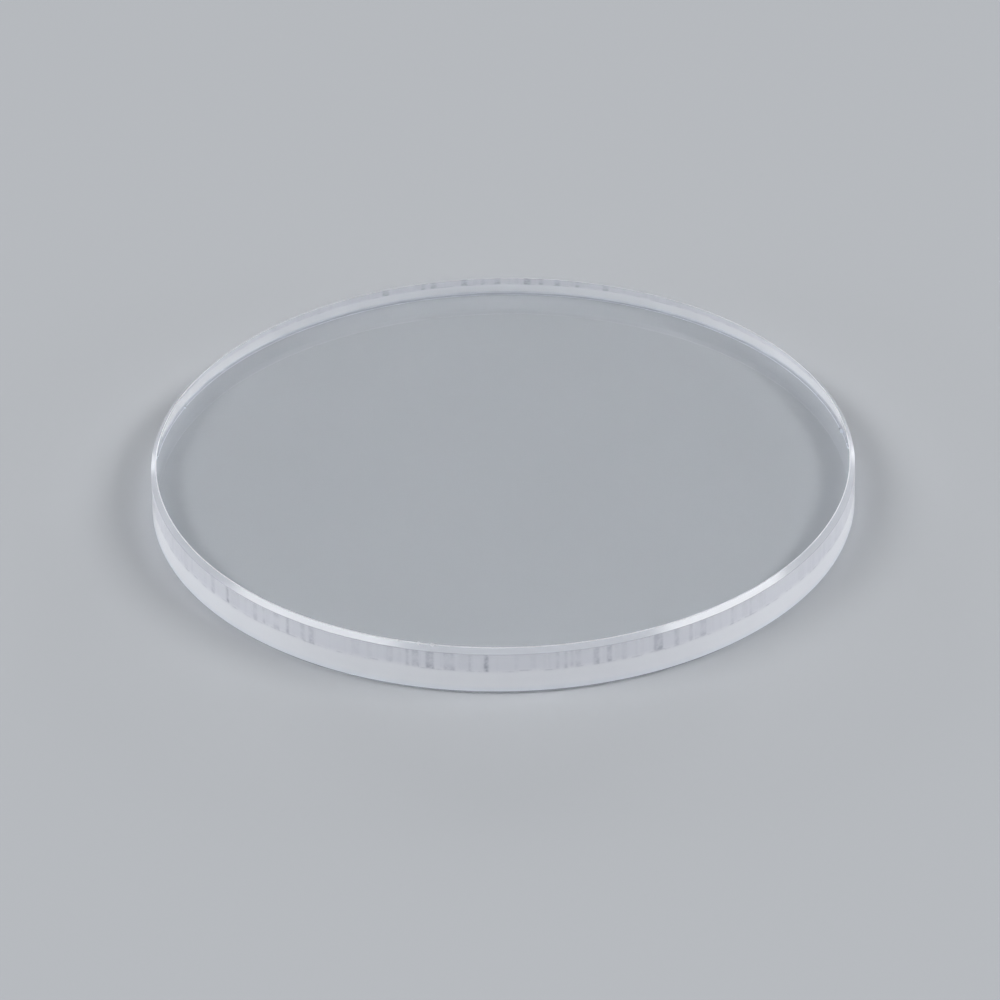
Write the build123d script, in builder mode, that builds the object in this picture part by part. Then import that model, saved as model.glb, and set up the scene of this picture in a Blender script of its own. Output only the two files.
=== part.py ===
"""Flat round watch crystal: one disc of clear glass with bevelled edges and a ground rim.

The crystal lies on its seat face. The origin is the centre of that face, and +Z points out
of the watch, towards the eye. Everything is in millimetres.
"""

import os

from build123d import *

# Driving dimensions
crystal_diameter = 35.0  # over the ground rim, which the bezel or its gasket grips
crystal_thickness = 2.5  # from the seat face to the outer face
outer_bevel = 0.25  # 45 degree bevel round the outer face, lapped to a satin finish
seat_arris = 0.12  # small 45 degree arris round the seat face, so that the edge can't chip

# One blank is cut round and flat, and both of its edges are then taken off at 45 degrees.
with BuildPart() as crystal:
    with BuildSketch() as seat_outline:
        Circle(crystal_diameter / 2)
    extrude(amount=crystal_thickness)
    chamfer(crystal.edges().group_by(Axis.Z)[-1], length=outer_bevel)
    chamfer(crystal.edges().group_by(Axis.Z)[0], length=seat_arris)

crystal.part.label = "crystal"

os.makedirs("parts", exist_ok=True)
export_step(crystal.part, "parts/crystal.step")

rim_height = crystal_thickness - outer_bevel - seat_arris
print(f"rim: radius {crystal_diameter / 2:.3f} mm, height {rim_height:.3f} mm,"
      f" middle at {seat_arris + rim_height / 2:.4f} mm")
print(f"outer face: diameter {crystal_diameter - 2 * outer_bevel:.2f} mm,"
      f" seat face: diameter {crystal_diameter - 2 * seat_arris:.2f} mm")
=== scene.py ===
"""Looks of a flat round watch crystal: a clear glass disc with polished faces, a satin bevel
round its outer face, a small arris round its seat face and a fine-ground rim.

It lies on its seat face on a pale floor. The origin is the middle of that face, and +Z
points up, out of the watch. Lengths are in metres, or in mm where a comment says so.
"""

import math
import random

import bmesh
import bpy
from mathutils import Matrix, Quaternion, Vector


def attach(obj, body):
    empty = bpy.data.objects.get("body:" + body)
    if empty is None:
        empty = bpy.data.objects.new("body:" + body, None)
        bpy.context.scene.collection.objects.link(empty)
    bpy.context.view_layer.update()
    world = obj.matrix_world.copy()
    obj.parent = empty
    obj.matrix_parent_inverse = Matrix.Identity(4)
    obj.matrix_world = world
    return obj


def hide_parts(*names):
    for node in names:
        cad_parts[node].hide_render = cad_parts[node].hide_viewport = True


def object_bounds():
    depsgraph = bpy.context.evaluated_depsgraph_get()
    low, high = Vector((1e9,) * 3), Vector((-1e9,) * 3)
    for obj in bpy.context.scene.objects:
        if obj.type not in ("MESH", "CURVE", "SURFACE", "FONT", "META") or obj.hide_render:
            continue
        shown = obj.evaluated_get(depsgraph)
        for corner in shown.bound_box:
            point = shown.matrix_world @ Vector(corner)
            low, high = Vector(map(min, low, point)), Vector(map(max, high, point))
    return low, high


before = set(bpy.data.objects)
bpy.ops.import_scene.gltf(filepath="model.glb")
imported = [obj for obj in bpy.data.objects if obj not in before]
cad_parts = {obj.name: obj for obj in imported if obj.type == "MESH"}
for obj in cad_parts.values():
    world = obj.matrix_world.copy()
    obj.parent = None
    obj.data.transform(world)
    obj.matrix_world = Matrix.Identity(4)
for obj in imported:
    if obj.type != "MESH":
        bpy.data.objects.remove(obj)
cad_low, cad_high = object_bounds()

MM = 0.001

# Sizes of the crystal, from the frame
rim_radius = (cad_high.x - cad_low.x) / 2
thickness = cad_high.z - cad_low.z

# Its two edges are taken off at 45 degrees, as in the part's source
outer_bevel = 0.25 * MM
seat_arris = 0.12 * MM

# Lapping leaves the bevel's corner with the outer face dull, and the others slightly round
face_corner = 0.03 * MM
edge_round = 0.018 * MM

# How finely the piece is built
rim_steps = 1920  # columns of faces round the rim
rim_cuts = 24  # level cuts across them, up the ground wall
round_steps = 3  # faces across each rounded edge
support_ring = 0.06 * MM  # the width of the ring of faces inside each flat face's edge
ball_fineness = 3  # of the balls that cut the chips
sharp_angle = 24  # degrees between two faces, above which their edge shades sharp
same_place = 0.002 * MM  # corners nearer than this to a ring lie on it

# The ground wall, from the arris up to the bevel
wall_low = seat_arris
wall_high = thickness - outer_bevel
row_height = (wall_high - wall_low) / (rim_cuts + 1)
column_angle = math.tau / rim_steps

# The three finishes' material slots, and what they share
polished_slot, ground_slot, lapped_slot = 0, 1, 2
glass_ior = 1.47  # of borosilicate glass

# The rim was ground in two passes, and the second came up to pass_height, in uneven steps
pass_height = 1.3 * MM
pass_steps = 90  # round the rim
pass_stray = 0.04 * MM  # how far a step may lie above or below that height
pass_fade = 0.3 * MM  # the height over which the finish changes
pass_depth = 0.003 * MM  # how much deeper the second pass was cut
pass_taper = 0.2 * MM  # the height over which the cut runs out at the wall's two edges
grinding_seed = 11

# Above that line the first pass still shows, with the marks that the wheel chattered into
# it. Each has its place along the rim in mm, to the photograph's right of the near or the far
# point, its width in mm, its depth as a share of pass_depth, and the share of that which is
# left half-way up.
near_marks = [
    (-16.6, 0.30, 0.45, 0.5),
    (-15.4, 0.18, 0.90, 0.5),
    (-13.4, 0.30, 0.35, 0.6),
    (-12.8, 0.15, 0.50, 0.2),
    (-12.0, 0.35, 0.50, 0.1),
    (-11.3, 0.18, 0.60, 0.7),
    (-10.4, 0.30, 0.50, 0.5),
    (-9.9, 0.30, 0.60, 0.6),
    (-5.7, 0.35, 0.30, 0.5),
    (-4.8, 0.15, 0.60, 0.4),
    (-4.4, 0.35, 0.65, 0.35),
    (-3.7, 0.40, 0.80, 0.55),
    (-2.75, 0.55, 0.55, 0.2),
    (-1.75, 0.15, 0.40, 0.7),
    (-0.95, 0.22, 1.00, 0.85),
    (2.5, 0.15, 0.50, 0.3),
    (2.9, 0.15, 0.50, 0.3),
    (3.2, 0.15, 0.50, 0.3),
    (3.5, 0.30, 0.45, 0.3),
    (4.4, 0.30, 0.75, 0.5),
    (5.05, 0.25, 0.75, 0.5),
    (5.8, 0.30, 0.30, 0.5),
    (7.6, 0.50, 0.70, 0.6),
    (8.6, 0.25, 0.50, 0.5),
    (9.4, 0.20, 0.40, 0.5),
    (10.1, 0.40, 0.50, 0.4),
    (11.9, 0.20, 0.35, 0.4),
    (13.1, 0.20, 0.30, 0.4),
]
far_marks = [
    (-6.0, 0.35, 0.80, 0.5),
    (-4.0, 0.20, 0.60, 0.5),
    (-3.45, 0.30, 0.70, 0.5),
    (-1.85, 0.30, 0.80, 0.6),
    (-0.9, 0.20, 0.60, 0.4),
    (-0.15, 0.30, 0.60, 0.5),
    (1.4, 0.35, 0.80, 0.6),
    (2.1, 0.20, 0.60, 0.5),
    (2.95, 0.30, 0.60, 0.5),
    (4.0, 0.20, 0.60, 0.4),
    (5.5, 0.30, 0.60, 0.5),
]
mark_edge = 0.10 * MM  # the width over which a mark's side fades
mark_top_loss = 0.35  # the share of its depth that a mark has lost at the wall's top

# Fainter marks on both sides of the rim, drawn at random between these limits
side_marks = 24
side_reach = 0.6  # radians round the rim, each way from the far left and right
side_half_widths = (0.08, 0.2)  # mm
side_depths = (0.05, 0.2)
side_middle = 0.5

# Chips that handling left, where the bevel or the arris meets its flat face. Each has its
# degrees round the rim from +X, its edge, then its length along the rim, its width and its
# depth in mm.
chips = [
    (252.4, "bevel", 0.16, 0.24, 0.03),
    (255.9, "bevel", 0.18, 0.44, 0.05),
    (258.2, "bevel", 0.28, 0.28, 0.06),
    (12.3, "arris", 0.60, 0.30, 0.06),
    (157.0, "arris", 0.30, 0.22, 0.05),
]
chip_unevenness = 0.004 * MM
edge_lean = 22.5  # degrees off the axis, half-way between the faces that meet at an edge
chip_seed = 5

# Nicks scattered round the arris, their width and depth as shares of their length
arris_nicks = 60
nick_lengths = (0.06, 0.18)  # mm, the least and the most
nick_width_share = 0.6
nick_depth_share = 0.2

# The photograph's camera
camera_rise = 32.45  # degrees above the floor
camera_roll = -0.835  # degrees, about its own axis
camera_distance = 24 * rim_radius
frame_pixels = 1000
radius_pixels = 350.9  # the rim's radius in that frame
frame_width = frame_pixels / radius_pixels * rim_radius  # what the frame takes in
disc_right = 0.0097 * rim_radius  # how far the disc's middle lies right of the frame's
disc_up = 0.0038 * rim_radius  # and how far above it
sensor_width = 36.0  # mm
clip_factor = 100  # it sees from a hundredth of its distance to a hundred times that

# Soft lamps that face the crystal. Each has its name, its place, its two sides, its watts
# and its turn about its own axis in degrees. The first two make the highlights on the bevel.
# The others stand low, so that they light the rim more than the floor.
softboxes = [
    ("left softbox", (-0.65, -0.16, 0.70), (0.8, 0.24), 4.7, 30),
    ("right softbox", (0.70, -0.07, 0.65), (0.64, 0.24), 4.5, -30),
    ("left low softbox", (-0.90, -0.38, 0.18), (0.5, 0.2), 1.4, 0),
    ("right low softbox", (0.90, -0.38, 0.18), (0.5, 0.2), 1.4, 0),
    ("left rear softbox", (-0.45, 0.88, 0.14), (0.34, 0.14), 2.0, 0),
    ("right rear softbox", (0.45, 0.88, 0.14), (0.34, 0.14), 2.0, 0),
]
air_strength = 0.29  # of the pale air all round
light_bounces = 48  # light crosses the glass many times before it leaves


def linear(hex_colour):
    """An sRGB hex colour as the linear RGBA that the shaders take."""
    parts = [int(hex_colour[i : i + 2], 16) / 255 for i in (1, 3, 5)]
    curve = [c / 12.92 if c <= 0.04045 else ((c + 0.055) / 1.055) ** 2.4 for c in parts]
    return (*curve, 1.0)


def deselect_all():
    bpy.ops.object.select_all(action="DESELECT")


def start_edit(piece):
    bpy.context.view_layer.objects.active = piece
    bpy.ops.object.mode_set(mode="EDIT")
    bpy.ops.mesh.select_all(action="DESELECT")


def finish_edit():
    bpy.ops.object.mode_set(mode="OBJECT")


def choose(piece, mode, wanted):
    """Selects the edges or faces of a piece in edit mode that wanted() is true of."""
    bpy.ops.mesh.select_all(action="DESELECT")
    bpy.ops.mesh.select_mode(type=mode)
    shape = bmesh.from_edit_mesh(piece.data)
    for item in {"EDGE": shape.edges, "FACE": shape.faces}[mode]:
        item.select_set(wanted(item))
    shape.select_flush_mode()
    bmesh.update_edit_mesh(piece.data)


def on_ring(edge, radius, height):
    """True for an edge that lies on the ring of that radius and height about the axis."""
    return all(
        abs(v.co.z - height) < same_place and abs(v.co.xy.length - radius) < same_place
        for v in edge.verts
    )


def upright(edge):
    """True for an edge that runs straight up the ground wall."""
    low, high = sorted(v.co.z for v in edge.verts)
    return high - low > (wall_high - wall_low) / 2


def crystal():
    """The disc, cut from a round blank as on the real one: bevel, arris, then the rounded edges."""
    deselect_all()
    bpy.ops.mesh.primitive_cylinder_add(
        vertices=rim_steps,
        radius=rim_radius,
        depth=thickness,
        location=(0, 0, thickness / 2),
    )
    piece = bpy.context.object
    piece.name = "watch_crystal"
    bpy.ops.object.transform_apply(location=True, rotation=False, scale=False)

    start_edit(piece)
    choose(piece, "EDGE", lambda e: on_ring(e, rim_radius, thickness))
    bpy.ops.mesh.bevel(offset=outer_bevel, segments=1, affect="EDGES")
    choose(piece, "EDGE", lambda e: on_ring(e, rim_radius, 0))
    bpy.ops.mesh.bevel(offset=seat_arris, segments=1, affect="EDGES")

    choose(piece, "EDGE", lambda e: on_ring(e, rim_radius - outer_bevel, thickness))
    bpy.ops.mesh.bevel(offset=face_corner, segments=round_steps, affect="EDGES")
    rings = [
        (rim_radius, wall_high),
        (rim_radius, wall_low),
        (rim_radius - seat_arris, 0),
    ]
    choose(piece, "EDGE", lambda e: any(on_ring(e, *ring) for ring in rings))
    bpy.ops.mesh.bevel(offset=edge_round, segments=round_steps, affect="EDGES")

    choose(piece, "EDGE", upright)
    bpy.ops.mesh.subdivide(number_cuts=rim_cuts)

    # The two flat faces are the only ones with a corner at every step round the rim
    choose(piece, "FACE", lambda f: len(f.verts) == rim_steps)
    bpy.ops.mesh.inset(thickness=support_ring, depth=0)
    finish_edit()
    return piece


def paint(piece):
    """Flat faces are polished, the bevel and the arris lapped, the wall and the dull corners ground."""
    flat, corner, wall = 0.999, 0.75, 0.1  # how level a face is, from 0, upright, to 1
    piece.data.materials.append(polished_mineral_glass())
    piece.data.materials.append(ground_mineral_glass())
    piece.data.materials.append(lapped_mineral_glass())
    for face in piece.data.polygons:
        level = abs(face.normal.z)
        if level > flat:
            face.material_index = polished_slot
        elif level > corner or level < wall:
            face.material_index = ground_slot
        else:
            face.material_index = lapped_slot


def soft_step(value, edge):
    """Rises from 0 to 1 as the value passes 0, over an edge of that width."""
    return min(1.0, max(0.0, value / edge + 0.5))


def all_marks():
    """The angle of each chatter mark round the rim, its half width, its depth and its middle."""
    near, far = -math.pi / 2, math.pi / 2
    marks = []
    for point, turn, listed in ((near, 1, near_marks), (far, -1, far_marks)):
        for place, width, depth, middle in listed:
            angle = point + turn * place * MM / rim_radius
            marks.append((angle, width * MM / 2, depth, middle))
    for side in (0, math.pi):
        for _ in range(side_marks // 2):
            angle = side + random.uniform(-side_reach, side_reach)
            half_width = random.uniform(*side_half_widths) * MM
            depth = random.uniform(*side_depths)
            marks.append((angle, half_width, depth, side_middle))
    return marks


def rim_columns():
    """For each column of the rim, how high the second pass came and the marks that cross it."""
    random.seed(grinding_seed)
    strays = [random.uniform(-pass_stray, pass_stray) for _ in range(pass_steps)]
    marks = all_marks()
    columns = []
    for column in range(rim_steps):
        angle = column * column_angle
        here = []
        for mark_angle, half_width, depth, middle in marks:
            distance = abs(math.remainder(angle - mark_angle, math.tau)) * rim_radius
            share = soft_step(half_width - distance, mark_edge)
            if share > 0:
                here.append((share * depth, middle))
        line = pass_height + strays[int(angle / math.tau * pass_steps) % pass_steps]
        columns.append((line, here))
    return columns


def grind(piece):
    """Cuts what the wheel took off the rim, and notes on the mesh where its passes and marks are.

    The second pass is cut to its full depth, and a mark to a share of that, most at its foot."""
    columns = rim_columns()
    cut_group = piece.vertex_groups.new(name="ground deeper")
    first_pass = [0.0] * len(piece.data.vertices)
    chatter = [0.0] * len(piece.data.vertices)
    for vertex in piece.data.vertices:
        if vertex.co.xy.length < rim_radius - same_place:
            continue
        angle = math.atan2(vertex.co.y, vertex.co.x)
        line, here = columns[round(angle / column_angle) % rim_steps]
        height = vertex.co.z
        above = soft_step(height - line, row_height)
        faded = soft_step(height - line, pass_fade)
        climb = max(0.0, (height - line) / (wall_high - line))
        kept = 1 - mark_top_loss * climb
        half_way = math.sin(math.pi * climb)  # 1 half-way up, 0 at the foot and the top
        depths = [depth * kept * (1 - (1 - middle) * half_way) for depth, middle in here]
        deepest = max(depths, default=0)
        first_pass[vertex.index] = faded
        chatter[vertex.index] = above * deepest
        room = min(1.0, (wall_high - height) / pass_taper, (height - wall_low) / pass_taper)
        weight = max(1 - above, above * deepest) * max(0.0, room)
        cut_group.add([vertex.index], weight, "REPLACE")
    for name, values in (("first_pass", first_pass), ("chatter", chatter)):
        piece.data.attributes.new(name, "FLOAT", "POINT").data.foreach_set("value", values)

    cut = piece.modifiers.new("ground deeper", "DISPLACE")
    cut.vertex_group = cut_group.name
    cut.direction = "NORMAL"
    cut.mid_level = 0
    cut.strength = -pass_depth
    bpy.context.view_layer.objects.active = piece
    bpy.ops.object.modifier_apply(modifier=cut.name)
    piece.vertex_groups.clear()


def add_ball(degrees, edge, length, width, depth):
    """Adds a ball to the cutter, flattened to the size of one chip, over the edge that it breaks."""
    lean = math.radians(edge_lean)
    turn = math.radians(degrees)
    radial = Vector((math.cos(turn), math.sin(turn), 0))
    along = Vector((-math.sin(turn), math.cos(turn), 0))
    if edge == "bevel":
        start = radial * (rim_radius - outer_bevel) + Vector((0, 0, thickness))
        outward = radial * math.sin(lean) + Vector((0, 0, math.cos(lean)))
    else:
        start = radial * (rim_radius - seat_arris)
        outward = radial * math.sin(lean) - Vector((0, 0, math.cos(lean)))
    across = outward.cross(along)

    # A ball of radius 1 that reaches cap_depth into the glass cuts a hole of cap_radius
    cap_radius, cap_depth = 0.7, 0.29
    size = (length / 2 / cap_radius * MM, width / 2 / cap_radius * MM, depth / cap_depth * MM)
    bpy.ops.mesh.primitive_ico_sphere_add(
        subdivisions=ball_fineness,
        radius=1,
        location=start + outward * size[2] * (1 - cap_depth),
        rotation=Matrix((along, across, outward)).transposed().to_euler(),
        scale=size,
    )


def chip_cutter():
    """What breaks the chips out: the chips listed above, and nicks scattered round the arris."""
    random.seed(chip_seed)
    deselect_all()
    cutter = bpy.data.objects.new("chip_cutter", bpy.data.meshes.new("chip_cutter"))
    bpy.context.scene.collection.objects.link(cutter)
    start_edit(cutter)
    for one in chips:
        add_ball(*one)
    for _ in range(arris_nicks):
        length = random.uniform(*nick_lengths)
        degrees = random.uniform(0, 360)
        add_ball(degrees, "arris", length, length * nick_width_share, length * nick_depth_share)
    bpy.ops.mesh.select_all(action="SELECT")
    bpy.ops.transform.vertex_random(offset=chip_unevenness, seed=chip_seed)
    finish_edit()
    return cutter


def chip(piece):
    """Breaks the chips out of the edges. Their broken faces are as white as ground glass."""
    cutter = chip_cutter()
    cutter.data.materials.append(piece.data.materials[ground_slot])
    bite = piece.modifiers.new("chips", "BOOLEAN")
    bite.object = cutter
    bite.operation = "DIFFERENCE"
    bite.solver = "MANIFOLD"
    bite.material_mode = "TRANSFER"
    deselect_all()
    bpy.context.view_layer.objects.active = piece
    bpy.ops.object.modifier_apply(modifier=bite.name)
    bpy.data.objects.remove(cutter)


def enlarge(piece, times):
    piece.scale = (times, times, times)
    bpy.ops.object.transform_apply(location=False, rotation=False, scale=True)


def smooth(piece):
    """Flat faces shade flat, round ones round, and the chips keep their sharp edges.

    Faces as small as these count for nothing in the modifier, so they are enlarged for it."""
    deselect_all()
    piece.select_set(True)
    bpy.context.view_layer.objects.active = piece
    enlarge(piece, 1 / MM)
    bpy.ops.object.shade_smooth_by_angle(angle=math.radians(sharp_angle))
    even = piece.modifiers.new("flat faces stay flat", "WEIGHTED_NORMAL")
    even.mode = "FACE_AREA"
    even.keep_sharp = True
    bpy.ops.object.modifier_apply(modifier=even.name)
    enlarge(piece, MM)


def add_node(material, kind, settings=None, links=None):
    """Adds a node to a material, sets its values and links its sockets.

    A socket goes by its name, or by its number where two have one name. A link comes from
    another node's first output, or from the output that is given."""
    node = material.node_tree.nodes.new(kind)
    for name, value in (settings or {}).items():
        if isinstance(name, int) or name in node.inputs:
            node.inputs[name].default_value = value
        else:
            setattr(node, name, value)
    for name, source in (links or {}).items():
        output = source.outputs[0] if isinstance(source, bpy.types.Node) else source
        material.node_tree.links.new(output, node.inputs[name])
    return node


def new_material(name):
    material = bpy.data.materials.new(name)
    material.use_nodes = True
    material.node_tree.nodes.clear()
    return material


def polished_mineral_glass():
    """Borosilicate glass, lapped and polished: clear, with sharp reflections and a trace of haze."""
    smear_size = 5 * MM
    material = new_material("polished_mineral_glass")
    place = add_node(material, "ShaderNodeTexCoord").outputs["Object"]
    smears = add_node(
        material, "ShaderNodeTexNoise", {"Scale": 1 / smear_size, "Detail": 3.0}, {"Vector": place}
    )
    haze = add_node(
        material,
        "ShaderNodeMapRange",
        {"From Min": 0.45, "From Max": 0.75, "To Min": 0.0, "To Max": 0.02},
        {"Value": smears},
    )
    shader = add_node(
        material,
        "ShaderNodeBsdfPrincipled",
        {"Base Color": linear("#FDFEFF"), "IOR": glass_ior, "Transmission Weight": 1.0},
        {"Roughness": haze},
    )
    add_node(material, "ShaderNodeOutputMaterial", links={"Surface": shader})
    return material


def lapped_mineral_glass():
    """The same glass, lapped with fine abrasive and not polished: satin, it blurs what is behind."""
    lap_length, lap_width = 2.5 * MM, 0.12 * MM  # real lines are finer, and wouldn't show
    material = new_material("lapped_mineral_glass")
    place = add_node(material, "ShaderNodeTexCoord").outputs["Object"]
    drawn_out = add_node(
        material,
        "ShaderNodeMapping",
        {"Scale": (1 / lap_length, 1 / lap_length, 1 / lap_width)},
        {"Vector": place},
    )
    lap = add_node(
        material, "ShaderNodeTexNoise", {"Scale": 1.0, "Detail": 2.0}, {"Vector": drawn_out}
    )
    satin = add_node(
        material,
        "ShaderNodeMapRange",
        {"From Min": 0.3, "From Max": 0.7, "To Min": 0.12, "To Max": 0.17},
        {"Value": lap},
    )
    shader = add_node(
        material,
        "ShaderNodeBsdfPrincipled",
        {"Base Color": linear("#CFD2D9"), "IOR": glass_ior, "Transmission Weight": 0.25},
        {"Roughness": satin},
    )
    add_node(material, "ShaderNodeOutputMaterial", links={"Surface": shader})
    return material


def wheel_marks(material, place, first_pass):
    """How strongly the wheel's marks show at a place, with faint upright blocks among them."""
    block_size = 0.35 * MM
    patch_size = 0.22 * MM
    upright_place = add_node(
        material,
        "ShaderNodeMapping",
        {"Scale": (1 / block_size, 1 / block_size, 0)},
        {"Vector": place},
    )
    blocks = add_node(
        material, "ShaderNodeTexNoise", {"Scale": 1.0, "Detail": 2.0}, {"Vector": upright_place}
    )
    faint = add_node(
        material,
        "ShaderNodeMapRange",
        {"From Min": 0.5, "From Max": 0.62, "To Min": 0.0, "To Max": 0.08},
        {"Value": blocks},
    )
    faint_above = add_node(
        material, "ShaderNodeMath", {"operation": "MULTIPLY"}, {0: faint, 1: first_pass}
    )
    chatter = add_node(material, "ShaderNodeAttribute", {"attribute_name": "chatter"})
    either = add_node(
        material,
        "ShaderNodeMath",
        {"operation": "MAXIMUM"},
        {0: faint_above, 1: chatter.outputs["Fac"]},
    )
    patches = add_node(
        material,
        "ShaderNodeTexNoise",
        {"Scale": 1 / patch_size, "Detail": 2.0, "Roughness": 0.6},
        {"Vector": place},
    )
    uneven = add_node(
        material,
        "ShaderNodeMapRange",
        {"From Min": 0.35, "From Max": 0.6, "To Min": 0.4, "To Max": 1.0},
        {"Value": patches},
    )
    return add_node(material, "ShaderNodeMath", {"operation": "MULTIPLY"}, {0: either, 1: uneven})


def painted_step_shadow(material, place, first_pass):
    """How strongly the painted shadow of the second pass's step shows, as a broken dark line."""
    dash_size = 0.6 * MM
    along = add_node(
        material,
        "ShaderNodeMapping",
        {"Scale": (1 / dash_size, 1 / dash_size, 0)},
        {"Vector": place},
    )
    broken = add_node(
        material, "ShaderNodeTexNoise", {"Scale": 1.0, "Detail": 3.0}, {"Vector": along}
    )
    gaps = add_node(
        material, "ShaderNodeMapRange", {"From Min": 0.45, "From Max": 0.6}, {"Value": broken}
    )
    shoulder = add_node(
        material, "ShaderNodeMath", {"operation": "PINGPONG", 1: 0.5}, {0: first_pass}
    )
    line = add_node(
        material,
        "ShaderNodeMapRange",
        {"From Min": 0.3, "From Max": 0.5, "To Min": 0.0, "To Max": 0.35},
        {"Value": shoulder},
    )
    return add_node(material, "ShaderNodeMath", {"operation": "MULTIPLY"}, {0: line, 1: gaps})


def ground_colour(material, place):
    """Near white, with a trace of the glass's own colour at the foot, the marks, and a painted shadow
    along the second pass's step.
    """
    foot_height = 0.35 * MM
    mix_first, mix_second, mix_result = 6, 7, 2  # the colour sockets of a Mix node
    # The dark grey of the wheel's marks, also used for the painted shadow at the second pass's step
    mark_and_shadow_colour = linear("#7E8290")
    noted = add_node(material, "ShaderNodeAttribute", {"attribute_name": "first_pass"})
    first_pass = noted.outputs["Fac"]
    passes = add_node(
        material,
        "ShaderNodeMix",
        {"data_type": "RGBA", mix_first: linear("#FAFBFD"), mix_second: linear("#E8E9EE")},
        {"Factor": first_pass},
    )
    height = add_node(material, "ShaderNodeSeparateXYZ", links={"Vector": place}).outputs["Z"]
    foot = add_node(
        material,
        "ShaderNodeMapRange",
        {"From Min": wall_low + foot_height, "From Max": wall_low},
        {"Value": height},
    )
    glassy = add_node(
        material,
        "ShaderNodeMix",
        {"data_type": "RGBA", mix_second: linear("#EDF2F8")},
        {"Factor": foot, mix_first: passes.outputs[mix_result]},
    )
    marked = add_node(
        material,
        "ShaderNodeMix",
        {"data_type": "RGBA", mix_second: mark_and_shadow_colour},
        {"Factor": wheel_marks(material, place, first_pass), mix_first: glassy.outputs[mix_result]},
    )
    # Painted shadow: a broken dark line at the step where the second pass stopped
    step_shadowed = add_node(
        material,
        "ShaderNodeMix",
        {"data_type": "RGBA", mix_second: mark_and_shadow_colour},
        {"Factor": painted_step_shadow(material, place, first_pass), mix_first: marked.outputs[mix_result]},
    )
    return step_shadowed.outputs[mix_result]


def ground_mineral_glass():
    """The same glass, ground with a fine wheel: it scatters light, white with a trace of lilac.

    Where the first pass is left it is a little darker, and the wheel's marks darker still. The
    grit leaves a fine relief, with the level streaks that the turning wheel draws."""
    grit_size = 0.06 * MM  # the grit itself is finer, and drawn this coarse so that it shows
    grit_relief = 0.02 * MM
    streak_length, streak_height = 1.4 * MM, 0.07 * MM
    material = new_material("ground_mineral_glass")
    place = add_node(material, "ShaderNodeTexCoord").outputs["Object"]
    level = add_node(
        material,
        "ShaderNodeMapping",
        {"Scale": (1 / streak_length, 1 / streak_length, 1 / streak_height)},
        {"Vector": place},
    )
    streaks = add_node(
        material, "ShaderNodeTexNoise", {"Scale": 1.0, "Detail": 2.0}, {"Vector": level}
    )
    grit = add_node(
        material,
        "ShaderNodeTexNoise",
        {"Scale": 1 / grit_size, "Detail": 3.0, "Roughness": 0.6},
        {"Vector": place},
    )
    relief = add_node(material, "ShaderNodeMath", {"operation": "ADD"}, {0: grit, 1: streaks})
    bump = add_node(
        material, "ShaderNodeBump", {"Strength": 0.25, "Distance": grit_relief}, {"Height": relief}
    )
    dull = add_node(
        material,
        "ShaderNodeMapRange",
        {"From Min": 0.3, "From Max": 0.7, "To Min": 0.88, "To Max": 0.98},
        {"Value": grit},
    )
    shader = add_node(
        material,
        "ShaderNodeBsdfPrincipled",
        {"IOR": glass_ior, "Transmission Weight": 0.7},
        {"Base Color": ground_colour(material, place), "Roughness": dull, "Normal": bump},
    )
    add_node(material, "ShaderNodeOutputMaterial", links={"Surface": shader})
    return material


def floor():
    """A plain pale floor, a hair under the glass, so that there is air between them."""
    floor_size = 8.0
    air_gap = 0.02 * MM
    deselect_all()
    bpy.ops.mesh.primitive_plane_add(size=floor_size, location=(0, 0, -air_gap))
    ground = bpy.context.object
    ground.name = "floor"
    material = new_material("pale_matt_floor")
    shader = add_node(
        material,
        "ShaderNodeBsdfPrincipled",
        {"Base Color": linear("#B8BBBF"), "Roughness": 0.8, "Specular IOR Level": 0.2},
    )
    add_node(material, "ShaderNodeOutputMaterial", links={"Surface": shader})
    ground.data.materials.append(material)


def softbox(name, place, size, power, roll):
    """A large soft lamp that faces the crystal, turned about its own axis, and isn't seen itself."""
    data = bpy.data.lights.new(name, "AREA")
    data.shape = "RECTANGLE"
    data.size, data.size_y = size
    data.energy = power
    lamp = bpy.data.objects.new(name, data)
    bpy.context.scene.collection.objects.link(lamp)
    lamp.location = place
    lamp.rotation_mode = "QUATERNION"
    turned = Quaternion((0, 0, 1), math.radians(roll))
    lamp.rotation_quaternion = lamp.location.to_track_quat("Z", "Y") @ turned
    lamp.visible_camera = False


def studio():
    """The lamps, and pale air that lights the rest from all sides."""
    for lamp in softboxes:
        softbox(*lamp)
    world = bpy.data.worlds.new("studio air")
    bpy.context.scene.world = world
    world.use_nodes = True
    air = world.node_tree.nodes["Background"]
    air.inputs["Color"].default_value = linear("#E4E6EA")
    air.inputs["Strength"].default_value = air_strength


def camera():
    """The photograph's camera, found by fitting the disc's edges to the photograph's."""
    data = bpy.data.cameras.new("camera")
    data.sensor_width = sensor_width
    data.lens = sensor_width * camera_distance / frame_width
    data.clip_start = camera_distance / clip_factor
    data.clip_end = camera_distance * clip_factor
    eye = bpy.data.objects.new("camera", data)
    bpy.context.scene.collection.objects.link(eye)
    eye.rotation_mode = "ZYX"
    eye.rotation_euler = (math.radians(90 - camera_rise), 0, math.radians(camera_roll))
    right, up, back = eye.rotation_euler.to_matrix().col
    eye.location = back * camera_distance - right * disc_right - up * disc_up
    bpy.context.scene.camera = eye


glass = crystal()
paint(glass)
grind(glass)
chip(glass)
smooth(glass)
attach(glass, "root")
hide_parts("crystal")

floor()
studio()
camera()

scene = bpy.context.scene
scene.view_settings.view_transform = "Standard"
scene.cycles.max_bounces = light_bounces
scene.cycles.transmission_bounces = light_bounces
scene.cycles.glossy_bounces = light_bounces
scene.cycles.blur_glossy = 0.0  # else the light that the glass lets through to the floor is lost
